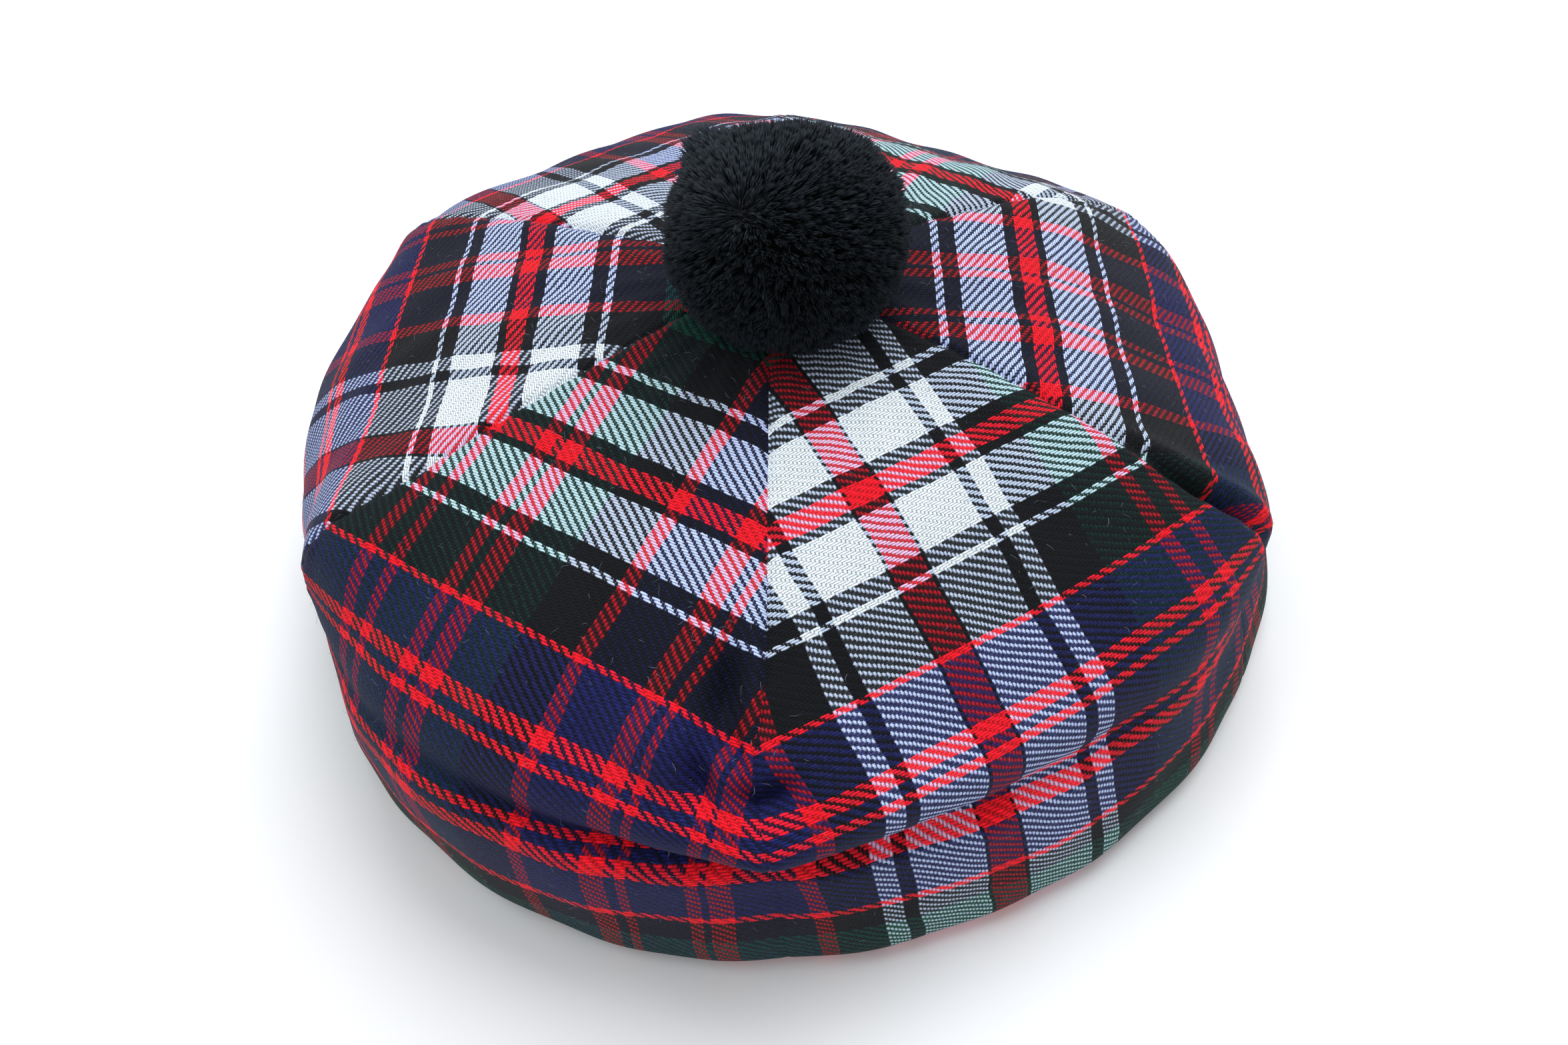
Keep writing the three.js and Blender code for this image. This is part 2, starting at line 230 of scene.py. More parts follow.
# how each wool below colours the yarn that lies over it
glows = {
    "k": linear(204, 211, 230),
    "w": linear(255, 255, 255),
    "r": linear(255, 196, 226),
    "b": linear(208, 216, 255),
    "g": linear(200, 228, 231),
}
cloth = {
    "weftPitch": 0.528,   # mm from one yarn to the next
    # yarn colours in order with their counts, the warp from the red of the white stripes
    "warpSett": "r9 k2 w19 k5 w5 k16 g16 r6 g4 r4 g16 r4 g4 r6 g17 k16 r6 b17 r7 b3 r4 b15 "
                "r4 b3 r6 b18 r4 k15 w5 k5 w19 k2",
    # the weft from the crown's middle to the headband
    "weftSett": "g50 k26 w5 k8 w25 k5 r9 k4 w26 k7 w5 k28 r5 b26 r8 b4 r4 b29 r4 b4 r8 b26 r5 "
                "k16 g28 r9 g5 r5 g21 r5 g86",
    "crimp": 0.15, "warpRadius": 0.3, "weftRadius": 0.34,   # mm
    "weftProud": 0.08,    # how much the weft stands above the warp
    "drift": 0.34, "driftScale": 0.21,     # how far the yarns wander, in yarns
    "stray": 1.3, "strayScale": 0.028,     # how far a whole stripe wanders, in yarns
    "woolly": 0.3, "woollyScale": 1.7,     # ragged edge of a yarn, in yarns
    "lift": 0.015,        # share of the yarn below that shows through
    "fibreScale": 4.5, "patchScale": 0.75,
    "gapLow": 0.12, "gapHigh": 0.46, "gapShade": 0.05,   # heights where the painted shade between yarns is deepest and where it ends, and the colour left in the deepest painted shade
    # painted light on the yarn tops, then fine grain and coarse grain, of dark wool and then of
    # bright wool; the dark wool's grain is partly fibre tone, partly painted sheen
    "darkWool": (1.35, 1.4, 3.2), "brightWool": (1.15, 0.3, 0.1),
    # wool tones between which the painted light and shade go from strong to weak
    "darkTone": 0.02, "brightTone": 0.35,
    "darkLeast": 0.1,     # lowest factor of the painted shade on dark wool
    # painted shade on the sunk warp floats and painted light on the proud weft floats, of dark wool
    "warpShade": 0.5, "weftShade": 1.25,
    "fuzz": 0.12,         # how much the fibres add to the bump
    "wall": 1.3,          # mm
}


def bands(sett):
    return [(word[0], int(word[1:])) for word in sett.split()]


def bandRamp(tree, sett, place, palette):
    node = addNode(tree, "ShaderNodeValToRGB")
    ramp = node.color_ramp
    ramp.interpolation = "CONSTANT"
    ramp.elements.remove(ramp.elements[1])
    total = sum(count for _, count in bands(sett))
    start = 0
    for number, (colour, count) in enumerate(bands(sett)):
        stop = ramp.elements[0] if number == 0 else ramp.elements.new(start / total)
        stop.color = palette[colour]
        start += count
    share = calc(tree, "FRACT", calc(tree, "DIVIDE", place, total))
    tree.links.new(share, node.inputs[0])
    return node.outputs[0]


def makeTartan():
    paint, tree, shader = newMaterial("tartan_twill", 0.7, 0.04, (0.8, 0.82, 0.9, 1), shine=0.18)
    yarns = addNode(tree, "ShaderNodeUVMap", uv_map="yarns").outputs[0]
    split = splitParts(tree, yarns)
    drift = splitParts(tree, addNoise(tree, yarns, cloth["driftScale"], 3).outputs["Color"])
    stray = splitParts(tree, addNoise(tree, yarns, cloth["strayScale"], 1).outputs["Color"])
    fray = splitParts(tree, addNoise(tree, yarns, cloth["woollyScale"], 2).outputs["Color"])

    def wandering(axis):
        half = cloth["stray"] + cloth["drift"]
        middled = calc(tree, "SUBTRACT", split[axis], half)
        bent = calc(tree, "MULTIPLY_ADD", stray[axis], 2 * cloth["stray"], middled)
        slow = calc(tree, "MULTIPLY_ADD", drift[axis], 2 * cloth["drift"], bent)
        return calc(tree, "MULTIPLY_ADD", fray[axis], 2 * cloth["woolly"], slow)

    across, along = wandering(0), wandering(1)
    warpNumber = calc(tree, "FLOOR", across)
    weftNumber = calc(tree, "FLOOR", along)

    def roundYarn(place, number):
        side = calc(tree, "MULTIPLY_ADD", calc(tree, "SUBTRACT", place, number), 2, -1)
        rest = calc(tree, "SUBTRACT", 1, calc(tree, "MULTIPLY", side, side))
        return calc(tree, "SQRT", calc(tree, "MAXIMUM", rest, 0))

    quarter = math.pi / 2
    warpPhase = calc(tree, "MULTIPLY", calc(tree, "SUBTRACT", warpNumber, along), quarter)
    weftPhase = calc(tree, "MULTIPLY", calc(tree, "SUBTRACT", across, weftNumber), quarter)
    warpWave = calc(tree, "COSINE", warpPhase)
    weftWave = calc(tree, "COSINE", calc(tree, "ADD", weftPhase, quarter))
    warpHigh = calc(tree, "MULTIPLY_ADD", roundYarn(across, warpNumber), cloth["warpRadius"],
                    calc(tree, "MULTIPLY", warpWave, cloth["crimp"]))
    weftHigh = calc(tree, "MULTIPLY_ADD", roundYarn(along, weftNumber), cloth["weftRadius"],
                    calc(tree, "MULTIPLY", weftWave, cloth["crimp"]))
    weftHigh = calc(tree, "ADD", weftHigh, cloth["weftProud"])
    onTop = calc(tree, "GREATER_THAN", weftHigh, warpHigh)
    height = calc(tree, "MAXIMUM", warpHigh, weftHigh)

    warpPlace = calc(tree, "ADD", warpNumber, 0.5)
    weftPlace = calc(tree, "ADD", weftNumber, 0.5)
    warpColour = bandRamp(tree, cloth["warpSett"], warpPlace, wools)
    weftColour = bandRamp(tree, cloth["weftSett"], weftPlace, wools)
    warpGlow = bandRamp(tree, cloth["warpSett"], warpPlace, glows)
    weftGlow = bandRamp(tree, cloth["weftSett"], weftPlace, glows)
    upper = mixColour(tree, onTop, warpColour, weftColour)
    lower = mixColour(tree, onTop, weftColour, warpColour)
    glow = mixColour(tree, onTop, weftGlow, warpGlow)
    tinted = mixColour(tree, 1.0, upper, glow, "MULTIPLY")
    woven = mixColour(tree, cloth["lift"], tinted, lower, "ADD")

    # twisted fibres in each yarn, painted shade between yarns and painted light on their tops,
    # stronger on dark wool
    fibres = addNoise(tree, yarns, cloth["fibreScale"], 4).outputs[0]
    patches = addNoise(tree, yarns, cloth["patchScale"], 3).outputs[0]

    def woolShade(top, fine, coarse):
        gap = addRange(tree, height, cloth["gapLow"], cloth["gapHigh"], cloth["gapShade"], top)
        part = calc(tree, "MULTIPLY_ADD", fibres, fine, 1 - (fine + coarse) / 2)
        return calc(tree, "MULTIPLY", gap, calc(tree, "MULTIPLY_ADD", patches, coarse, part))

    # painted shade on warp floats, painted light on weft floats
    sideShade = calc(tree, "MULTIPLY_ADD", onTop, cloth["weftShade"] - cloth["warpShade"],
                     cloth["warpShade"])
    # strong painted shade and light for dark wool, weak for bright wool
    strong = calc(tree, "MAXIMUM", woolShade(*cloth["darkWool"]), cloth["darkLeast"])
    strong = calc(tree, "MULTIPLY", strong, sideShade)
    weak = woolShade(*cloth["brightWool"])
    tone = addNode(tree, "ShaderNodeRGBToBW")
    tree.links.new(woven, tone.inputs[0])
    bright = addRange(tree, tone.outputs[0], cloth["darkTone"], cloth["brightTone"])
    shade = calc(tree, "MULTIPLY_ADD", calc(tree, "SUBTRACT", weak, strong), bright, strong)
    grey = addNode(tree, "ShaderNodeCombineColor")
    for socket in grey.inputs:
        tree.links.new(shade, socket)
    shaded = mixColour(tree, 1.0, woven, grey.outputs[0], "MULTIPLY")
    tree.links.new(shaded, shader.inputs["Base Color"])
    addBump(tree, shader, calc(tree, "MULTIPLY_ADD", fibres, cloth["fuzz"], height), 1, mm)
    return paint


# hat shape, the same section as the CAD
hat = {
    "rimReach": 139.0, "crownHeight": 91.0, "crownHole": 4.0, "frontSeamTurn": -96.0,
    "bandEdge": 92.7, "bandSeamHeight": 25.0,
    "gathersPerGore": 3, "gatherDepth": 1.1,
    "seamDip": 0.6, "seamDipWidth": 2.2,      # mm, degrees
    "seamRoll": 0.8, "seamRollWidth": 0.9,    # mm
    "pucker": 0.22, "puckerPitch": 9.0, "puckerWidth": 6.0, "puckerSway": 17.0,   # mm
    # where along the cloth a seam flattens below the rim, by how much, and the roll left to it
    "seamFades": (0.68, 0.78), "seamFade": 0.8, "rollLeft": 0.12,
    "crownFlat": 0.12,    # share of the section that lies flat under the pompom
}
# soft waves in the cloth: mm deep, waves round the hat, mm of cloth, and how both bend
rumple = {
    "depth": 0.5, "waves": 23, "along": 9.7,
    "bend": 3, "bendAlong": 31, "sway": 2, "swayWaves": 5,
}
# name, droop, number of the warp yarn at the gore's middle, yarn pitch in mm, and how far the
# stripes run askew, in mm across for each mm along
gores = (
    ("front_right", 0.9, 21.9, 0.783, 0),
    ("right", 1.2, 197.7, 0.74, 0.07),
    ("back_right", 1.8, 86.7, 0.783, 0),
    ("back_left", 0.1, 231.0, 0.7, 0.15),
    ("left", -0.4, 235.7, 0.8, -0.19),
    ("front_left", -1.0, 133.1, 0.783, 0),
)
skewStart = 76.0   # mm of cloth where the numbers above hold
goreTurn = 360 / len(gores)
# reach, height, bow, sway, lift down the middle of a gore
crownRows = (
    (0.144, 0.994, 0.1, 0, 0), (0.295, 0.962, 0, 0, 0), (0.435, 0.918, 0, 0, 0),
    (0.54, 0.875, 0, 0.001, 0.006), (0.63, 0.827, 0.02, 0.005, 0.022),
    (0.747, 0.754, 0.04, 0.014, 0.046), (0.806, 0.711, 0.12, 0.018, 0.05),
    (0.855, 0.662, 0.28, 0.02, 0.052), (0.892, 0.61, 0.46, 0.023, 0.056),
    (0.93, 0.546, 0.68, 0.03, 0.07), (0.955, 0.486, 0.88, 0.036, 0.084),
    (0.972, 0.425, 1.0, 0.038, 0.084), (0.984, 0.355, 1.06, 0.034, 0.078),
    (0.993, 0.28, 1.06, 0.028, 0.064), (0.999, 0.2, 1.04, 0.024, 0.044),
    (1.004, 0.125, 1.02, 0.02, 0.024), (1.003, 0.058, 1.01, 0.018, 0.008),
    (0.978, 0.012, 1.0, 0.014, 0), (0.925, 0, 1.0, 0.008, 0),
)
underRows = ((0.2, 0.04), (0.48, 0.34), (0.76, 0.74), (1, 1))
# turn, spread, along, span, depth, as in the CAD but for three that are tighter at the seams
dents = (
    # lip and groove across the front
    (-96, 34, 0.72, 0.019, 0.05), (-98, 38, 0.66, 0.035, -0.034),
    # folds at the front seam
    (-100.2, 1.9, 0.498, 0.042, 0.05), (-98.3, 1.6, 0.54, 0.02, 0.024),
    (-106, 4.5, 0.585, 0.035, -0.036), (-101.8, 1.8, 0.592, 0.032, 0.05),
    (-99, 1.5, 0.573, 0.022, -0.012), (-95, 2.6, 0.592, 0.022, 0.05), (-90, 5, 0.6, 0.04, -0.012),
    # crease and roll at the right seam
    (-35.2, 1.0, 0.56, 0.1, 0.05), (-33, 1.7, 0.55, 0.1, -0.014),
    (-27, 6, 0.68, 0.12, -0.012), (-46, 7, 0.68, 0.12, -0.012),
    # left seam, then the back and the sides
    (-156, 11, 0.54, 0.07, -0.02), (-156, 12, 0.74, 0.13, 0.045),
    (143, 3, 0.62, 0.1, 0.014), (84, 9, 0.57, 0.14, 0.034), (24, 8, 0.66, 0.14, 0.026),
    (-171, 14, 0.78, 0.3, 0.02), (-2, 13, 0.72, 0.25, 0.018),
)
# cloth taken up by a fold: turn, spread, where it starts and ends along the cloth, mm
tucks = (
    (-78, 34, 0.64, 0.74, 5.6), (-132, 14, 0.62, 0.74, -2.0),
)
# cloth drawn sideways into the front seam's fold, on the gore at its right: same columns
sidePull = (-96, 32, 0.64, 0.75, 7.0)
# where a seam wanders round the hat: turn, spread, along, span, shift in degrees
wanders = (
    (-36, 14, 0.66, 0.17, 3.6), (-96, 9, 0.56, 0.07, -1.5),
)


def sectionTable():
    reach, height = hat["rimReach"], hat["crownHeight"]
    rows = [(hat["crownHole"], height, 1, 0, 0)]
    for row in crownRows:
        rows.append((row[0] * reach, row[1] * height, row[2], row[3] * reach, row[4] * height))
    foot = rows[-1]
    for run, rise in underRows:
        rows.append((foot[0] + (hat["bandEdge"] - foot[0]) * run,
                     hat["bandSeamHeight"] * rise, 1, foot[3] * (1 - run), 0))
    return np.array(rows, float)


section = sectionTable()
lastRow = len(section) - 1
footShare = len(crownRows) / lastRow
rimShare = (len(crownRows) - 3) / lastRow


def smooth(column, share):
    values = section[:, column]
    at = np.clip(share, 0, 1) * lastRow
    i = np.minimum(np.floor(at).astype(int), lastRow - 1)
    f = at - i
    before = np.where(i > 0, values[np.maximum(i - 1, 0)], 2 * values[0] - values[1])
    after = np.where(i + 2 <= lastRow, values[np.minimum(i + 2, lastRow)],
                     2 * values[lastRow] - values[lastRow - 1])
    a, b = values[i], values[i + 1]
    slopeA, slopeB = (b - before) / 2, (after - a) / 2
    f2, f3 = f * f, f * f * f
    plain = a * (2 * f3 - 3 * f2 + 1) + b * (3 * f2 - 2 * f3)
    return plain + slopeA * (f3 - 2 * f2 + f) + slopeB * (f3 - f2)


evenShares = np.linspace(0, 1, 481)
steps = np.hypot(np.diff(smooth(0, evenShares)), np.diff(smooth(1, evenShares)))
clothLengths = hat["crownHole"] + np.concatenate([[0], np.cumsum(steps)])


def clothAt(share):
    return np.interp(share, evenShares, clothLengths)


footCloth = float(clothAt(footShare))


def smoothstep(x, low, high):
    t = np.clip((x - low) / (high - low), 0, 1)
    return t * t * (3 - 2 * t)


def droopAt(index, share):
    own = gores[index][1]
    ahead = gores[(index + 1) % len(gores)][1]
    behind = gores[(index - 1) % len(gores)][1]
    edge = np.where(share > 0, (own + ahead) / 2, (own + behind) / 2)
    return own + (edge - own) * share * share


def plainPoint(index, column, share):
    angle = np.radians(goreTurn / 2 * column)
    droop = droopAt(index, column)
    corner = 1 + (1 - smooth(2, share)) * (1 / np.cos(angle) - 1)
    radius = (smooth(0, share) - droop * smooth(3, share)) * corner
    return radius, np.maximum(smooth(1, share) - droop * smooth(4, share), 0)


def acrossGore(index, column, share):
    angle = np.radians(goreTurn / 2 * column)
    middle = smooth(0, share) - droopAt(index, 0 * column) * smooth(3, share)
    bow = smooth(2, share)
    return middle * (np.tan(angle) * (1 - bow) + angle * bow)


def turnedFrom(turn, at):
    return (turn - at + 540) % 360 - 180


def dentAt(turn, length):
    depth = 0 * turn
    for at, spread, along, span, share in dents:
        away = turnedFrom(turn, at)
        off = (length / footCloth - along) / span
        depth += share * hat["rimReach"] * np.exp(-(away / spread) ** 2 - off ** 2)
    return depth


def wanderAt(turn, length):
    shift = 0 * turn
    for at, spread, along, span, degrees in wanders:
        away = turnedFrom(turn, at)
        off = (length / footCloth - along) / span
        shift += degrees * np.exp(-(away / spread) ** 2 - off ** 2)
    return shift


def tuckAt(turn, length, folds):
    taken = 0 * turn
    for at, spread, start, end, most in folds:
        away = turnedFrom(turn, at)
        taken += most * np.exp(-(away / spread) ** 2) * smoothstep(length / footCloth, start, end)
    return taken


def turnOf(index, column):
    return hat["frontSeamTurn"] + goreTurn * (index + 0.5 + column / 2)


def clothFace(index, column, share):
    turn = turnOf(index, column)
    length = clothAt(share)
    radius, height = plainPoint(index, column, share)
    step = 0.004
    radiusA, heightA = plainPoint(index, column, np.maximum(share - step, 0))
    radiusB, heightB = plainPoint(index, column, np.minimum(share + step, 1))
    outR, outZ = heightA - heightB, radiusB - radiusA
    size = np.maximum(np.hypot(outR, outZ), 1e-9)
    outR, outZ = outR / size, outZ / size
    fromSeam = (1 - np.abs(column)) * goreTurn / 2
    onCrown = smoothstep(share, 0, hat["crownFlat"]) * (1 - smoothstep(share, rimShare, footShare))
    drawnIn = onCrown * (1 - hat["seamFade"] * smoothstep(length / footCloth, *hat["seamFades"]))
    depth = dentAt(turn, length)
    depth += hat["seamDip"] * np.exp(-(fromSeam / hat["seamDipWidth"]) ** 2) * drawnIn
    seamDistance = np.radians(fromSeam) * radius
    rolled = hat["rollLeft"] + (1 - hat["rollLeft"]) * drawnIn
    depth += hat["seamRoll"] * np.exp(-(seamDistance / hat["seamRollWidth"]) ** 2) * rolled
    around = np.radians(turn)
    bend = rumple["bend"] * np.sin(length / rumple["bendAlong"])
    sway = rumple["sway"] * np.sin(around * rumple["swayWaves"])
    swell = np.sin(around * rumple["waves"] + bend) * np.sin(length / rumple["along"] + sway)
    depth += rumple["depth"] * swell * onCrown
    pleat = np.sin(2 * math.pi * length / hat["puckerPitch"] + np.sin(length / hat["puckerSway"]))
    depth += hat["pucker"] * pleat * np.exp(-(seamDistance / hat["puckerWidth"]) ** 2) * drawnIn
    radius = radius - outR * depth
    height = height - outZ * depth
    gathered = smoothstep(share, footShare, 1)
    ripple = 1 - np.cos(math.pi * hat["gathersPerGore"] * (column + 1))
    height = height + hat["gatherDepth"] * gathered * ripple
    return turn + wanderAt(turn, length), radius, height, outR, outZ


# rows and columns of a gore's net, closer beside the seams
goreNet = {"rows": 200, "edgeColumns": 8, "edgeShare": 0.06, "edgeCloser": 1.5, "columns": 76}


def columnStations():
    closer = np.linspace(0, 1, goreNet["edgeColumns"]) ** goreNet["edgeCloser"]
    edge = 1 - goreNet["edgeShare"] * closer
    inner = np.linspace(goreNet["edgeShare"] - 1, 1 - goreNet["edgeShare"], goreNet["columns"])
    return np.concatenate([-edge, inner[1:-1], edge[::-1]])


def wallFaces(rows, cols):   # outer face, inner face and the edges between them
    number = np.arange(rows * cols).reshape(rows, cols)
    back = rows * cols
    a, b = number[:-1, :-1], number[1:, :-1]
    c, d = number[1:, 1:], number[:-1, 1:]
    outerFaces = np.stack([a, b, c, d], -1).reshape(-1, 4)
    innerFaces = outerFaces[:, ::-1] + back
    edges = []
    for line, flip in ((number[:, 0], True), (number[:, -1], False),
                       (number[0, :], False), (number[-1, :], True)):
        p, q = line[:-1], line[1:]
        quad = np.stack([p, q, q + back, p + back], -1)
        edges.append(quad[:, ::-1] if flip else quad)
    return np.concatenate([outerFaces, innerFaces] + edges).tolist()


def yarnPlaces(index, column, share):   # numbers of the warp and weft yarns
    name, _, middleYarn, pitch, askew = gores[index]
    turn, length = turnOf(index, column), clothAt(share)
    pulled = tuckAt(turn, length, (sidePull,)) if name == "front_right" else 0
    across = acrossGore(index, column, share) + pulled - askew * (length - skewStart)
    warp = middleYarn + across / pitch
    weft = (length + tuckAt(turn, length, tucks)) / cloth["weftPitch"]
    return np.stack([warp.ravel(), weft.ravel()], -1)


def makeGoreCloth(index, paint):
    name = gores[index][0]
    lengths = np.linspace(clothLengths[0], clothLengths[-1], goreNet["rows"])
    shares = np.interp(lengths, clothLengths, evenShares)
    share, column = np.meshgrid(shares, np.sort(columnStations()), indexing="ij")
    turn, radius, height, outR, outZ = clothFace(index, column, share)
    angle = np.radians(turn)
    wall = cloth["wall"]
    outer = roundAxis(angle, radius, height)
    inner = roundAxis(angle, radius - wall * outR, height - wall * outZ)
    obj = addPiece("tartan_" + name, np.concatenate([outer, inner]), wallFaces(*share.shape), paint)
    mesh = obj.data
    perPoint = np.tile(yarnPlaces(index, column, share), (2, 1))
    layer = mesh.uv_layers.new(name="yarns")
    corners = np.zeros(len(mesh.loops), int)
    mesh.loops.foreach_get("vertex_index", corners)
    layer.data.foreach_set("uv", perPoint[corners].astype(np.float32).ravel())
    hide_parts("gore_" + name)


# pompom of cut yarn
pompom = {
    "radius": 29.0, "squash": 0.92,   # as the CAD ball
    "rise": 15.0, "leanRight": 4.2, "leanFront": 5.4,
    "coreShare": 0.8, "coreClear": 0.4, "footClear": 0.5,   # mm above the crown
    "tufts": 4300, "strandsPerTuft": 7, "pieces": ("pompom_yarn", "pompom_yarn_between"),
    "tuftScatter": 0.014, "tuftUneven": 0.42, "tuftLowest": 0.12, "rootDepth": 0.02,
    "tuftSpread": 0.62, "tipSpread": 1.25, "rootSpread": 0.5,   # mm, then shares of it
    "tipScatter": 0.12, "bendPlace": 0.76, "bendOut": 0.35, "bendSpread": 0.1,
    "strandWidth": 0.42, "widthVaries": 0.15,   # mm, share
    "strandReach": 7.0, "reachVaries": 0.08,    # mm, share
    "strays": 2600, "strayWidth": 0.1, "strayReach": 1.5, "strayPart": 0.6, "strayFoot": 0.8,
    "strayLean": 0.7, "strayBend": 0.6, "strayLowest": -0.45,
    "seed": 11,
    # the root colour is painted shade deep in the ball
    "rootShadeColour": linear(2, 2, 3), "tipColour": linear(37, 45, 53),
    "fullShadeReach": 0.84, "shadeEndReach": 1.03,    # shares of the ball's radius where the painted shade is full and where it ends
    "grainScale": 700, "grain": 0.9, "grainLeast": 0.3,
}
# how the yarns sweep round from their parting, in degrees from it, less so on the lower front
yarnSweep = {"most": 1.35, "from": 30, "spread": 40, "scatter": 0.16,
             "lowTilt": 0.9, "lowFades": (-0.25, 0.45), "lowLoss": 0.85}
pompomScale = np.array([1.0, 1.0, pompom["squash"]])
whorl = np.array([-0.39, -0.5, 0.775])     # where the yarns part
# direction, degrees wide, mm: the parting, the proud tuft behind it, a flat side and a full side
pompomLumps = (
    (whorl, 10, -3.6),
    (np.array([-0.56, 0.63, 0.53]), 11.5, 6),
    (np.array([0.1, 0.7, 0.7]), 22, -1.7),
    (np.array([0.82, 0.42, 0.38]), 18, 1.4),
)
unevenBall = {"depth": 0.5, "waves": (9, 8, 7)}   # mm, waves across, to the back and up


def pompomMiddle():
    return np.array([axisX / mm + pompom["leanRight"], axisY / mm - pompom["leanFront"],
                     hat["crownHeight"] + pompom["rise"]])


def unit(vectors):
    return vectors / np.maximum(np.linalg.norm(vectors, axis=-1, keepdims=True), 1e-9)


def degreesFrom(direction, pole):
    return np.degrees(np.arccos(np.clip(direction @ unit(pole), -1, 1)))


def pompomReach(direction):
    reach = np.full(len(direction), pompom["radius"])
    for middle, spread, proud in pompomLumps:
        reach += proud * np.exp(-(degreesFrom(direction, middle) / spread) ** 2)
    x, y, z = (direction[:, axis] * waves for axis, waves in enumerate(unevenBall["waves"]))
    reach += unevenBall["depth"] * np.sin(x + 1) * np.sin(y + z)
    return reach


def evenDirections(count):
    number = np.arange(count) + 0.5
    z = 1 - 2 * number / count
    angle = number * math.pi * (3 - math.sqrt(5))
    flat = np.sqrt(1 - z * z)
    return np.stack([flat * np.cos(angle), flat * np.sin(angle), z], -1)


def yarnLie(direction, rng):
    pole = unit(whorl)
    toward = unit(direction - (direction @ pole)[:, None] * pole)
    away = degreesFrom(direction, whorl)
    sweep = yarnSweep["most"] * np.exp(-((away - yarnSweep["from"]) / yarnSweep["spread"]) ** 2)
    forward = -direction[:, 1] - yarnSweep["lowTilt"] * direction[:, 2]
    sweep *= 1 - yarnSweep["lowLoss"] * smoothstep(forward, *yarnSweep["lowFades"])
    scatter = rng.normal(size=direction.shape) * yarnSweep["scatter"]
    return unit(direction + toward * sweep[:, None] + scatter)


def makeStrands(name, places, widths, rng, paint):   # places of roots, middles and tips in mm
    roots, middles, tips = places
    count = len(roots)
    along = unit(tips - roots)
    side = unit(np.cross(along, rng.normal(size=(count, 3))))
    other = np.cross(along, side)
    rings = []
    for place, share in ((roots, 1.0), (middles, 0.95)):
        for corner in range(3):
            turn = 2 * math.pi * corner / 3
            offset = side * math.cos(turn) + other * math.sin(turn)
            rings.append(place + offset * (widths * share)[:, None])
    points = np.stack(rings + [tips], 1).reshape(-1, 3)
    base = np.arange(count)[:, None] * 7
    quads = np.concatenate([base + np.array([[a, (a + 1) % 3, 3 + (a + 1) % 3, 3 + a]])
                            for a in range(3)])
    tops = np.concatenate([base + np.array([[3 + a, 3 + (a + 1) % 3, 6]]) for a in range(3)])
    feet = base + np.array([[2, 1, 0]])
    return addPiece(name, points * mm, quads.tolist() + tops.tolist() + feet.tolist(), paint)


def onBall(places):
    low = (pompom["footClear"] - pompom["rise"]) / pompom["squash"]
    places[:, 2] = np.maximum(places[:, 2], low)
    return places * pompomScale + pompomMiddle()


def makePompomYarn(paint):
    rng = np.random.RandomState(pompom["seed"])
    direction = evenDirections(pompom["tufts"])
    direction = unit(direction + rng.normal(size=direction.shape) * pompom["tuftScatter"])
    sitting = -pompom["rise"] / pompom["squash"] / pompom["radius"]
    direction = direction[direction[:, 2] > sitting - pompom["tuftLowest"]]
    lie = yarnLie(direction, rng)
    uneven = rng.normal(size=len(direction)) * pompom["tuftUneven"]
    ends = direction * (pompomReach(direction) + uneven)[:, None]
    perTuft = pompom["strandsPerTuft"]
    limit = pompom["radius"] * (pompom["coreShare"] + pompom["rootDepth"])
    for number, name in enumerate(pompom["pieces"]):
        chosen = slice(number, None, len(pompom["pieces"]))
        tuftEnds = np.repeat(ends[chosen], perTuft, 0)
        tuftLie = np.repeat(lie[chosen], perTuft, 0)
        aside = rng.normal(size=tuftEnds.shape)
        aside -= tuftLie * (aside * tuftLie).sum(-1, keepdims=True)
        aside = unit(aside) * (pompom["tuftSpread"] * np.sqrt(rng.rand(len(aside))))[:, None]
        tips = tuftEnds + aside * pompom["tipSpread"]
        tips = tips + rng.normal(size=tips.shape) * pompom["tipScatter"]
        reach = pompom["strandReach"] * (1 + rng.normal(size=len(tips)) * pompom["reachVaries"])
        roots = tuftEnds + aside * pompom["rootSpread"] - tuftLie * reach[:, None]
        depth = np.linalg.norm(roots, axis=1)
        roots *= np.minimum(1, limit / depth)[:, None]
        middles = roots * (1 - pompom["bendPlace"]) + tips * pompom["bendPlace"]
        middles = middles + unit(tips) * pompom["bendOut"] + aside * pompom["bendSpread"]
        widths = pompom["strandWidth"] * (1 + rng.normal(size=len(tips)) * pompom["widthVaries"]) / 2
        places = [onBall(part) for part in (roots, middles, tips)]
        obj = makeStrands(name, places, widths, rng, paint)
        if number == 0:
            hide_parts("pompom")
        print(name, "strands:", len(tips))


def makePompomStrays(paint):
    rng = np.random.RandomState(pompom["seed"] + 1)
    direction = unit(rng.normal(size=(pompom["strays"], 3)))
    direction = direction[direction[:, 2] > pompom["strayLowest"]]
    feet = direction * (pompomReach(direction) - pompom["strayFoot"])[:, None]
    lean = unit(yarnLie(direction, rng) + rng.normal(size=direction.shape) * pompom["strayLean"])
    bend = unit(lean + rng.normal(size=direction.shape) * pompom["strayBend"])
    reach = pompom["strayReach"] * (0.5 + rng.rand(len(direction)))[:, None]
    middles = feet + lean * reach * pompom["strayPart"]
    tips = middles + bend * reach * pompom["strayPart"]
    widths = np.full(len(direction), pompom["strayWidth"] / 2)
    places = [onBall(part) for part in (feet, middles, tips)]
    obj = makeStrands("pompom_stray_hairs", places, widths, rng, paint)
    print("stray hairs:", len(tips))


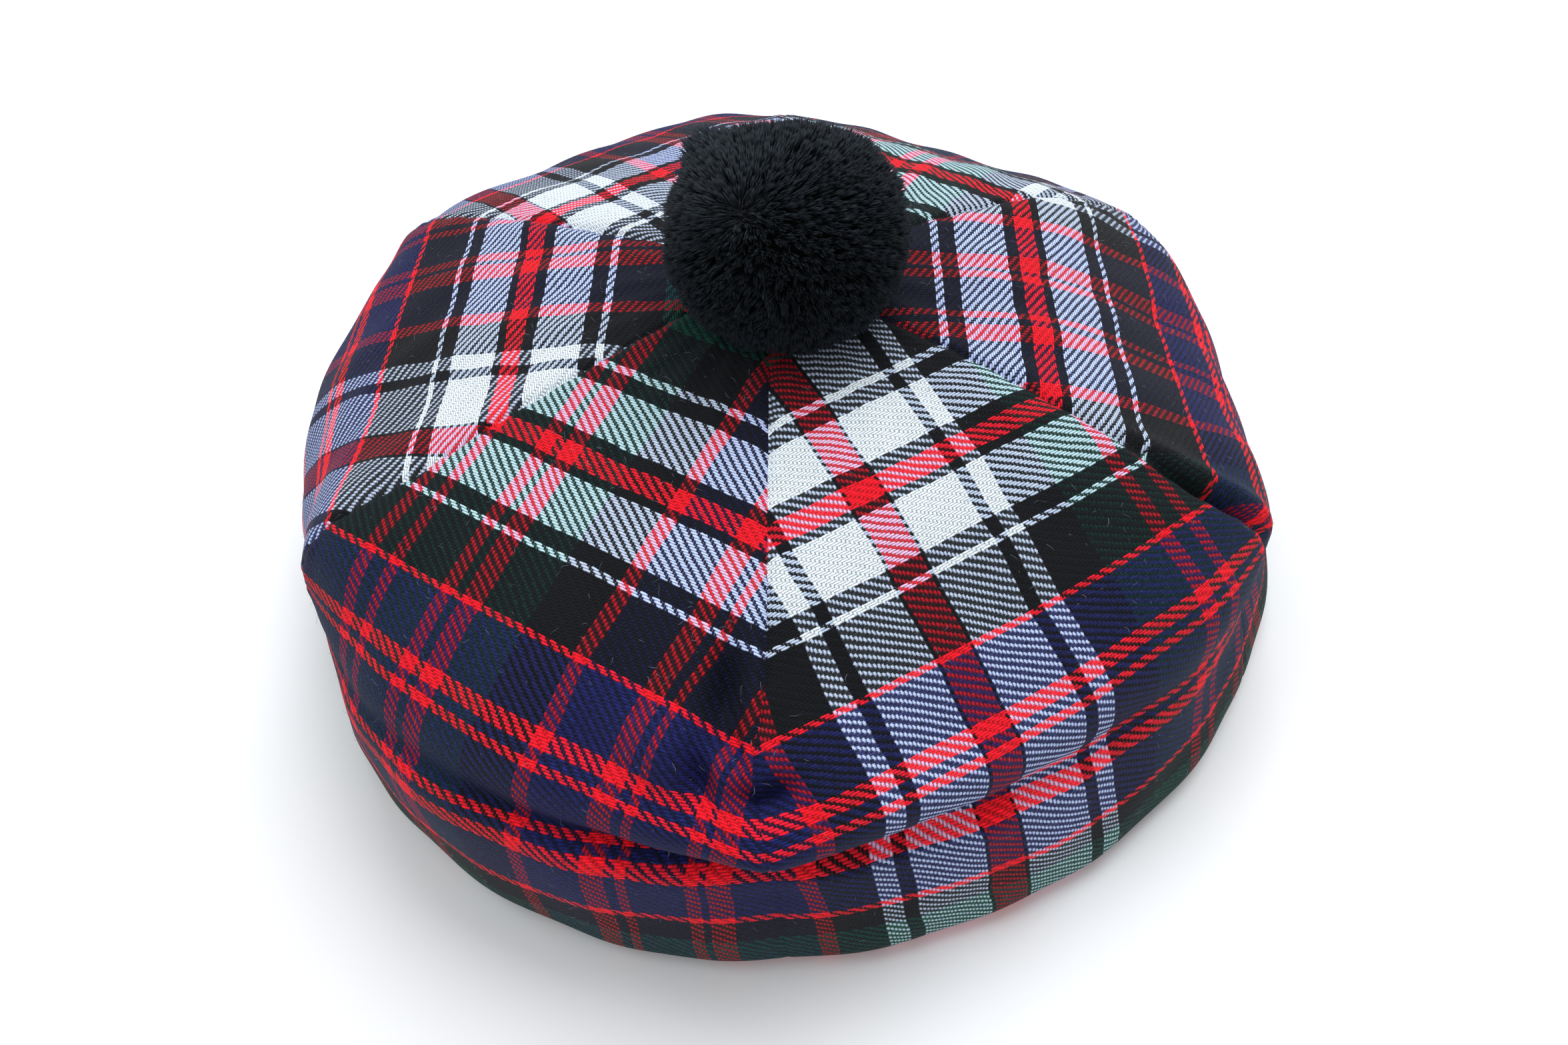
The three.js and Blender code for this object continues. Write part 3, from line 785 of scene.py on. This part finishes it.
def makePompomCore(paint):
    deselectAll()
    middle = pompomMiddle() * mm
    radius = pompom["radius"] * pompom["coreShare"] * mm
    bpy.ops.mesh.primitive_ico_sphere_add(subdivisions=5, radius=radius,
                                          location=middle.tolist(), scale=pompomScale.tolist())
    core = bpy.context.active_object
    core.name = "pompom_core"
    bpy.ops.object.transform_apply(location=True, rotation=True, scale=True)
    lowest = (hat["crownHeight"] + pompom["coreClear"]) * mm
    for vertex in core.data.vertices:
        vertex.co.z = max(vertex.co.z, lowest)
    core.data.polygons.foreach_set("use_smooth", [True] * len(core.data.polygons))
    # the yarn paint's painted shade makes the core near black
    core.data.materials.append(paint)
    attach(core, "root")
    print("pompom core")


def makeYarnPaint():
    paint, tree, shader = newMaterial("pompom_wool", 0.7, 0.08, (0.55, 0.62, 0.7, 1))
    place = addNode(tree, "ShaderNodeTexCoord").outputs["Object"]
    fine = addNoise(tree, place, pompom["grainScale"], 3).outputs[0]
    # painted shade, darker towards the roots deep in the ball
    fromMiddle = addNode(tree, "ShaderNodeVectorMath", operation="SUBTRACT")
    tree.links.new(place, fromMiddle.inputs[0])
    fromMiddle.inputs[1].default_value = (pompomMiddle() * mm).tolist()
    scaled = addNode(tree, "ShaderNodeVectorMath", operation="DIVIDE")
    tree.links.new(fromMiddle.outputs[0], scaled.inputs[0])
    scaled.inputs[1].default_value = (pompomScale * pompom["radius"] * mm).tolist()
    outness = addNode(tree, "ShaderNodeVectorMath", operation="LENGTH")
    tree.links.new(scaled.outputs[0], outness.inputs[0])
    outOfShade = addRange(tree, outness.outputs["Value"], pompom["fullShadeReach"], pompom["shadeEndReach"])
    grain = calc(tree, "MULTIPLY_ADD", fine, pompom["grain"], pompom["grainLeast"])
    # painted shade towards the roots, times random grain
    light = calc(tree, "MULTIPLY", outOfShade, grain)
    tone = mixColour(tree, light, pompom["rootShadeColour"], pompom["tipColour"])
    tree.links.new(tone, shader.inputs["Base Color"])
    return paint


# headband of plain doubled cloth
band = {
    "inner": 90.0, "wall": 2.4, "height": 32.0, "topRound": 1.0, "footRound": 0.3,
    "segments": 300, "cornerSteps": 4, "sideSteps": 10,
    "ripple": 0.12, "rippleWaves": (11, 3),   # mm, waves round the band
    "ribPitch": 0.9, "ribDepth": 0.2, "ribStrength": 0.6,   # mm between the cloth's ribs, mm, share
    "grainScale": 1300, "darkWool": linear(14, 15, 19), "lightWool": linear(40, 42, 50),
}


def bandOutline():
    inner, outer = band["inner"], band["inner"] + band["wall"]
    top, foot, height = band["topRound"], band["footRound"], band["height"]
    side = height - top - foot
    corners = ((outer - top, height - top, top), (inner + top, height - top, top),
               (inner + foot, foot, foot), (outer - foot, foot, foot))
    points = []
    for number, (middleX, middleZ, reach) in enumerate(corners):
        for step in range(band["cornerSteps"] + 1):
            turn = math.radians(90 * number + 90 * step / band["cornerSteps"])
            points.append((middleX + reach * math.cos(turn), middleZ + reach * math.sin(turn)))
        for step in range(1, band["sideSteps"]):
            if number == 1:
                points.append((inner, height - top - side * step / band["sideSteps"]))
            elif number == 3:
                points.append((outer, foot + side * step / band["sideSteps"]))
    return np.array(points)


def makeHeadband(paint):
    outline = bandOutline()
    ring = len(outline)
    turns = np.linspace(0, 2 * math.pi, band["segments"], endpoint=False)
    turn, number = np.meshgrid(turns, np.arange(ring), indexing="ij")
    radius, height = outline[number, 0], outline[number, 1]
    middleShare = np.sin(math.pi * np.clip(height / band["height"], 0, 1))
    many, few = band["rippleWaves"]
    waves = 1 + np.sin(turn * many + 0.4) * np.sin(turn * few)
    radius = radius - band["ripple"] * middleShare * waves
    faces = []
    for i in range(band["segments"]):
        for j in range(ring):
            a, b = i * ring + j, i * ring + (j + 1) % ring
            after = ((i + 1) % band["segments"]) * ring
            faces.append((a, after + j, after + (j + 1) % ring, b))
    obj = addPiece("headband_cloth", roundAxis(turn, radius, height), faces, paint)
    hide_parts("headband")
    print("headband cloth")


def makeBandPaint():
    paint, tree, shader = newMaterial("band_wool", 0.92, 0.08, (0.6, 0.62, 0.7, 1))
    place = addNode(tree, "ShaderNodeTexCoord").outputs["Object"]
    ribs = calc(tree, "MULTIPLY", splitParts(tree, place)[2], 2 * math.pi / (band["ribPitch"] * mm))
    grain = addNoise(tree, place, band["grainScale"]).outputs[0]
    tone = mixColour(tree, grain, band["darkWool"], band["lightWool"])
    tree.links.new(tone, shader.inputs["Base Color"])
    relief = calc(tree, "MULTIPLY_ADD", grain, 1.0, calc(tree, "SINE", ribs))
    addBump(tree, shader, relief, band["ribStrength"], band["ribDepth"] * mm)
    return paint


# loose hairs of wool on the cloth
lint = {
    "hairs": 2200, "width": 0.06, "reach": 2.6, "rise": 0.7, "sunk": 0.1, "veer": 0.8,   # mm
    "clearOfPompom": 30, "clearOfBand": 62,   # mm along the cloth
    "seed": 5,
    "patchScale": 90, "darkHair": linear(20, 22, 30), "paleHair": linear(190, 196, 215),
}


def makeLint():
    paint, tree, shader = newMaterial("loose_wool_hair", 0.6)
    place = addNode(tree, "ShaderNodeTexCoord").outputs["Object"]
    patch = addNoise(tree, place, lint["patchScale"]).outputs[0]
    tone = mixColour(tree, patch, lint["darkHair"], lint["paleHair"])
    tree.links.new(tone, shader.inputs["Base Color"])
    rng = np.random.RandomState(lint["seed"])
    feet, middles, tips = [], [], []
    count = lint["hairs"] // len(gores)
    nearest, farthest = lint["clearOfPompom"], clothLengths[-1] - lint["clearOfBand"]
    for index in range(len(gores)):
        share = np.interp(rng.uniform(nearest, farthest, count), clothLengths, evenShares)
        column = rng.uniform(-1, 1, count)
        turn, radius, height, outR, outZ = clothFace(index, column, share)
        angle = np.radians(turn)
        foot = np.stack([radius * np.cos(angle), radius * np.sin(angle), height], -1)
        out = np.stack([outR * np.cos(angle), outR * np.sin(angle), outZ], -1)
        along = unit(np.cross(out, rng.normal(size=foot.shape)))
        veer = unit(along + np.cross(out, along) * rng.normal(size=(count, 1)) * lint["veer"])
        reach = lint["reach"] * (0.3 + rng.rand(count, 1))
        rise = lint["rise"] * rng.rand(count, 1)
        feet.append(foot - out * lint["sunk"])
        bend = foot + along * reach * 0.5
        middles.append(bend + out * rise)
        tips.append(bend + veer * reach * 0.5 + out * rise * rng.rand(count, 1))
    axis = np.array([axisX / mm, axisY / mm, 0])
    places = [np.concatenate(part) + axis for part in (feet, middles, tips)]
    widths = np.full(len(places[0]), lint["width"] / 2)
    obj = makeStrands("loose_hairs", places, widths, rng, paint)
    print("loose hairs:", len(widths))


# run
makeCamera()
makeStudio()
tartan = makeTartan()
for index in range(len(gores)):
    makeGoreCloth(index, tartan)
makeLint()
makeHeadband(makeBandPaint())
yarnPaint = makeYarnPaint()
makePompomCore(yarnPaint)
makePompomYarn(yarnPaint)
makePompomStrays(yarnPaint)
